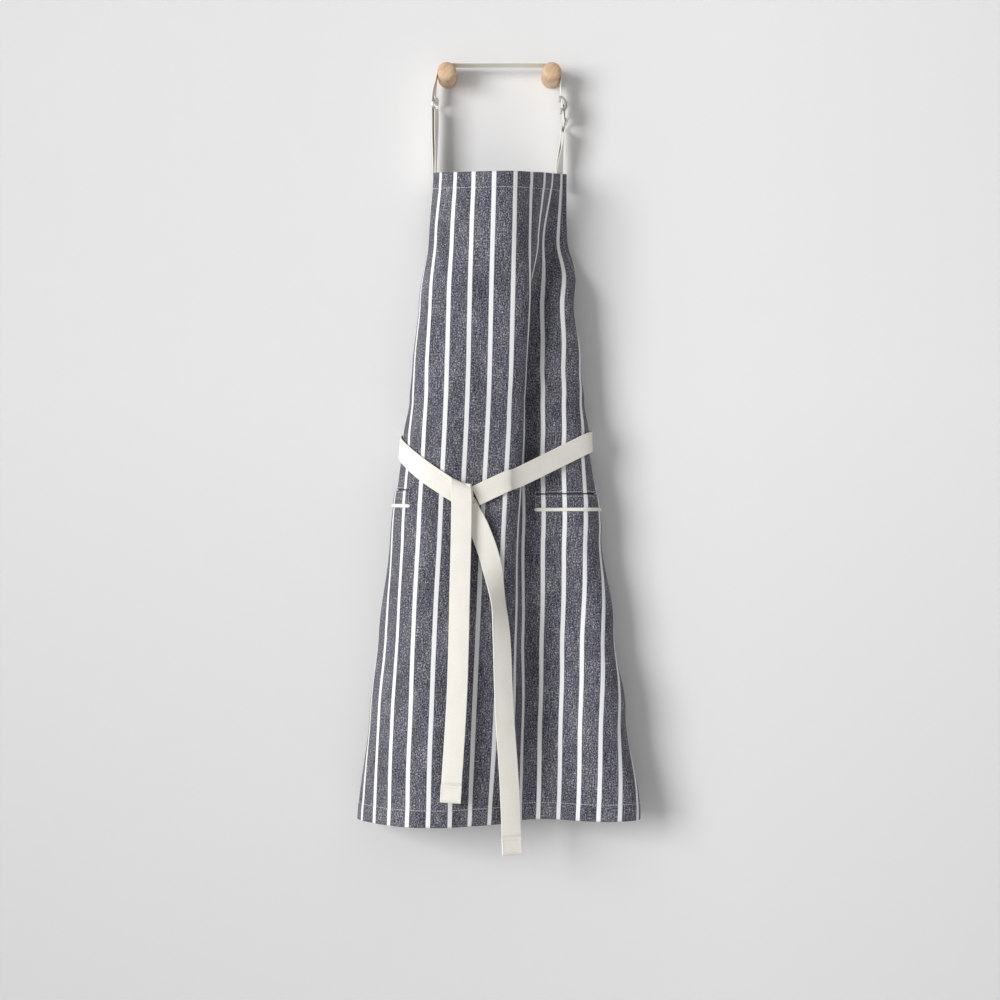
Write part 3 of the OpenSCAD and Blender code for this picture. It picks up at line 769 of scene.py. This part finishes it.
def edge_on(points, twist=None, pivot=0.0):
    """A strap seen edge-on: its path in space, and the directions across its width.
    twist(x, z) turns its rear edge to the right about an upright line at x = pivot."""
    path, sides = [], []
    for x, z in fine(points):
        angle = twist(x, z) if twist else 0.0
        away = x - pivot
        path.append((pivot + away * math.cos(angle), STRAP_Y - away * math.sin(angle), z))
        sides.append((math.sin(angle), math.cos(angle), 0))
    return np.array(path), np.array(sides)


def left_twist(x, z):
    """The left strap turns as it leaves its peg, and turns back before the bib."""
    return LEFT_TWIST * ease((-z - 2) / 26) * ease((z + 126) / 70) if x < -60 else 0.0


def right_twist(x, z):
    """The right tab turns on its way down to the bib."""
    return RIGHT_TWIST * ease((-75 - z) / 50)


def add_neck_strap():
    """From its sewn end round the left ring's top bar, over both pegs, round the right ring and
    back up to the slider."""
    seat = PEG_SEAT_R + FIT_GAP + WEB_T / 2
    path = [(LEFT_BAR[0] + LOOP_R, -28.5), (LEFT_BAR[0] + LOOP_R, LEFT_BAR[1] + 1)]
    path += arc(LEFT_BAR, LOOP_R, 0, -180, 12)
    path += [(LEFT_BAR[0] - LOOP_R, LEFT_BAR[1] + 1), (LEFT_BAR[0] - LOOP_R + 1.5, -18)]
    path += arc((-PEG_X, 0), seat, 180, 90, 14)
    path += arc((PEG_X, 0), seat, 90, 0, 14)
    path += [lean(0, 4), lean(0, RIGHT_BAR[1] + 1)]
    path += [lean(*p) for p in arc(RIGHT_BAR, LOOP_R, -180, 0, 12)]
    path += [lean(RETURN_X, RIGHT_BAR[1] + 1), lean(RETURN_X, SLIDER_Z - WIRE_D / 2 - 1.5)]
    path, sides = edge_on(path, left_twist, LEFT_BAR[0])
    piece, length = add_webbing("neck_strap_webbing", path, sides, "apron", ["neck_strap"])
    return length


def add_sewn_end():
    """The strap's end, folded round the slider's middle bar."""
    leaf = WEB_T + FIT_GAP
    path = [(RETURN_X - leaf, SLIDER_Z - SEWN_LEN), (RETURN_X - leaf, SLIDER_Z - 3)]
    path += arc((RETURN_X, SLIDER_Z), LOOP_R, 180, 0, 12)
    path += [(RETURN_X + leaf, SLIDER_Z - 3), (RETURN_X + leaf, SLIDER_Z - SEWN_LEN)]
    path, sides = edge_on([lean(*p) for p in path])
    piece, length = add_webbing("sewn_end_webbing", path, sides, "slider", ["sewn_strap_end"])
    return length


def add_tab(side, bar, foot, twist, leaf):
    """A tab from its foot behind the bib, round the ring's lower bar and back."""
    (x, z), below = foot, bar[1] + 2 - RING_H / 2
    path = [(x - leaf, z - TAB_FOOT), (x - leaf, z), (bar[0] - LOOP_R, below)]
    path += arc(bar, LOOP_R, 180, 0, 12)
    path += [(bar[0] + LOOP_R, below), (x + leaf, z), (x + leaf, z - TAB_FOOT)]
    path, sides = edge_on(path, twist, x)
    piece, length = add_webbing(f"{side}_tab_webbing", path, sides, "apron", [f"{side}_strap_tab"])
    return length


# ---------------------------------------------------------------- waist ties
TIE_OUT = 3.2
# A stop is the gaps across from the centre stripe, the drop, and the distance out from the cloth.
LEFT_STOPS = [(10.6, 340, 2), (-10.9, 342, 3), (-9, 342, 4), (-7.6, 343, 3.4), (-6.6, 345, 3),
              (-5.6, 348, 3), (-4.7, 353, TIE_OUT), (-3.8, 364, TIE_OUT), (-2.8, 381, TIE_OUT),
              (-1.8, 399, 4.5), (-1.2, 410, 5.5), (-0.8, 422, 5), (-0.65, 430, 5.5)]
RIGHT_STOPS = [(-0.45, 411, 8.5), (1, 393, 4), (1.75, 386, 3.6), (6, 347.5, TIE_OUT), (6.6, 344, TIE_OUT),
               (7.1, 341, 3.4), (7.8, 340, 4), (9, 340, 5), (10.4, 340, 6.5), (-10.9, 340, 8)]
# A station is x, y, z, the turn of the width from +X towards +Z, and from +X towards the wall.
WRAP = [(-43, -118.5, -541, -24, 0), (-45, -118.5, -527, -26, 0), (-46.5, -122.5, -518, -26, 0),
        (-46.5, -127.5, -523.5, -22, 0), (-46, -129, -535, -8, 0), (-45.8, -129, -547, 2, 0)]
FRONT = [(-45.8, -129, -547.5, 2, 0), (-46.5, -128.5, -590, 1, 0), (-48, -128, -650, 1, 0),
         (-49.5, -128.5, -720, -1, 0), (-52, -130, -790, -3, 0), (-58, -131, -885, -8, 0)]
REAR = [(-39, -115.5, -547, 33, 0), (-34, -117, -556, 31, 0), (-24, -118, -575, 28, 0),
        (-11, -116, -612, 16, 10), (-1.5, -115.5, -661, 4, 45), (3, -116, -710, 2, 30),
        (6, -117, -790, 3, 24), (12, -119, -880, 4, 20), (15, -120, -950, 3, 18)]
HEM_LEN = 22


def station_sides(rows):
    """The directions across a tie's width, from its stations' two turns."""
    rise, turn = np.radians(rows[:, 3]), np.radians(rows[:, 4])
    return np.stack([np.cos(rise) * np.cos(turn), np.cos(rise) * np.sin(turn), np.sin(rise)], -1)


def add_band(name, stops, nodes):
    """A tie that hugs the cloth, standing on its edge round the waist."""
    points = np.array([cloth_base(drop, gaps * PITCH, out) for gaps, drop, out in stops])
    below = np.array([cloth_base(drop + 12, gaps * PITCH, out) for gaps, drop, out in stops])
    rows = smooth_path(np.hstack([points, points - below]), 12)
    piece, length = add_webbing(name, rows[:, :3], rows[:, 3:], "apron", nodes)
    return length


def cloth_base(drop, across, out):
    """A point beside the cloth without its small creases, so that a tie spans over them."""
    d, a = np.array([float(drop)]), np.array([float(across)])
    turn = look_up(FOLD_TURN, d, a)[0]
    return (look_up(FOLD_X, d, a)[0] + out * math.sin(turn), look_up(FOLD_Y, d, a)[0] - out * math.cos(turn),
            CLOTH_TOP - drop * FALL - float(sag(d, a)[0]))


def add_tail(name, stations, body, nodes, hem_nodes):
    """A hanging tail that bends at the knot, and its doubled and sewn end."""
    rows = smooth_path(stations, 10)
    path = rows[:, :3]
    tail, length = add_webbing(name, path, station_sides(rows), None, nodes, cup=0.5)
    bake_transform(tail)
    along = unit(path[-1] - path[-2])
    hem_path = np.array([path[-1] + along * d for d in np.linspace(-0.5, HEM_LEN, 8)])
    hem_sides = np.repeat(station_sides(rows[-1:]), 8, 0)
    hem, hem_length = add_webbing(f"{name}_end", hem_path, hem_sides, body, hem_nodes,
                                  thickness=2.4, width=25.6)
    side = unit(hem_sides[0] - along * (hem_sides[0] @ along))
    out = np.cross(along, side)
    out = out if out[1] < 0 else -out
    inset, first, last = WEB_W / 2 - 1.5, 4, HEM_LEN - 3
    rows = [[(d, w) for w in np.linspace(-inset, inset, 8)] for d in (first, last)]
    rows += [[(d, w) for d in np.linspace(first, last, 6)] for w in (-inset, inset)]
    lines = [(np.array([path[-1] + along * d + side * w + out * 1.15 for d, w in row]),
              np.repeat(out[None], len(row), 0)) for row in rows]
    stitching = add_stitches(f"{name}_stitching", lines, body, "tie_thread", radius=0.25)
    return length + hem_length


def add_left_ring():
    """The left ring, turned with its strap: a rounded rectangle of wire."""
    corner, n = 3.0, 8
    half_y, low, high = BAR_LEN / 2 + corner, -RING_H, 0.0
    loop = []
    for cy, cz, start in ((half_y - corner, high - corner, 90), (-half_y + corner, high - corner, 180),
                          (-half_y + corner, low + corner, 270), (half_y - corner, low + corner, 360)):
        for k in range(n + 1):
            a = math.radians(start + 90 * k / n - 90)
            loop.append((0, cy - corner * math.cos(a + math.pi), cz + corner * math.sin(a)))
    centre = np.array(loop)
    verts, ring, side = [], 12, np.array([1.0, 0, 0])
    for k, point in enumerate(centre):
        up = np.cross(unit(centre[(k + 1) % len(centre)] - centre[k - 1]), side)
        for j in range(ring):
            a = math.tau * j / ring
            x, y, z = point + WIRE_D / 2 * (side * math.cos(a) + up * math.sin(a))
            verts.append((LEFT_BAR[0] + x * math.cos(LEFT_TWIST) + y * math.sin(LEFT_TWIST),
                          STRAP_Y - x * math.sin(LEFT_TWIST) + y * math.cos(LEFT_TWIST),
                          LEFT_BAR[1] + z))
    count = len(centre)
    faces = [(r * ring + c, r * ring + (c + 1) % ring, ((r + 1) % count) * ring + (c + 1) % ring,
              ((r + 1) % count) * ring + c) for r in range(count) for c in range(ring)]
    return add_piece("left_ring_wire", verts, faces, np.zeros((len(verts), 2)), "nickel", "apron",
                     ["left_ring"])


def dress(node, material):
    """Put a material on a CAD node that is shown as it is."""
    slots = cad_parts[node].data.materials
    if not slots:
        slots.append(None)
    for k in range(len(slots)):
        slots[k] = MATERIALS[material]


# ---------------------------------------------------------------- the assembly
cloth = add_apron_cloth()
on_cloth = [add_hem_stitching(), *add_pocket("left"), *add_pocket("right")]

lengths = {
    "neck_strap": add_neck_strap(), "sewn_end": add_sewn_end(),
    "left_tab": add_tab("left", LEFT_BAR - [0, RING_H], (-82, -126), left_twist, 1.4),
    "right_tab": add_tab("right", RIGHT_LOW_BAR, (75.5, -126), right_twist, 0.65),
    "left_tie": add_band("left_tie_band", LEFT_STOPS, ["left_waist_tie"]),
    "right_tie": add_band("right_tie_band", RIGHT_STOPS, ["right_waist_tie"]),
    "front_tail": add_tail("front_tail_webbing", WRAP[:-1] + FRONT, "front_tail", ["knot_wrap", "front_tail"],
                           ["front_tail_hem"]),
    "rear_tail": add_tail("rear_tail_webbing", REAR, "rear_tail", ["rear_tail"], ["rear_tail_hem"])}
print("webbing lengths in mm:", {name: round(length) for name, length in lengths.items()})
add_left_ring()
for node, material in (("left_peg", "beech"), ("right_peg", "beech"), ("right_ring", "nickel"),
                       ("strap_slider", "nickel"), ("left_hanger_bolt", "zinc"),
                       ("right_hanger_bolt", "zinc")):
    dress(node, material)
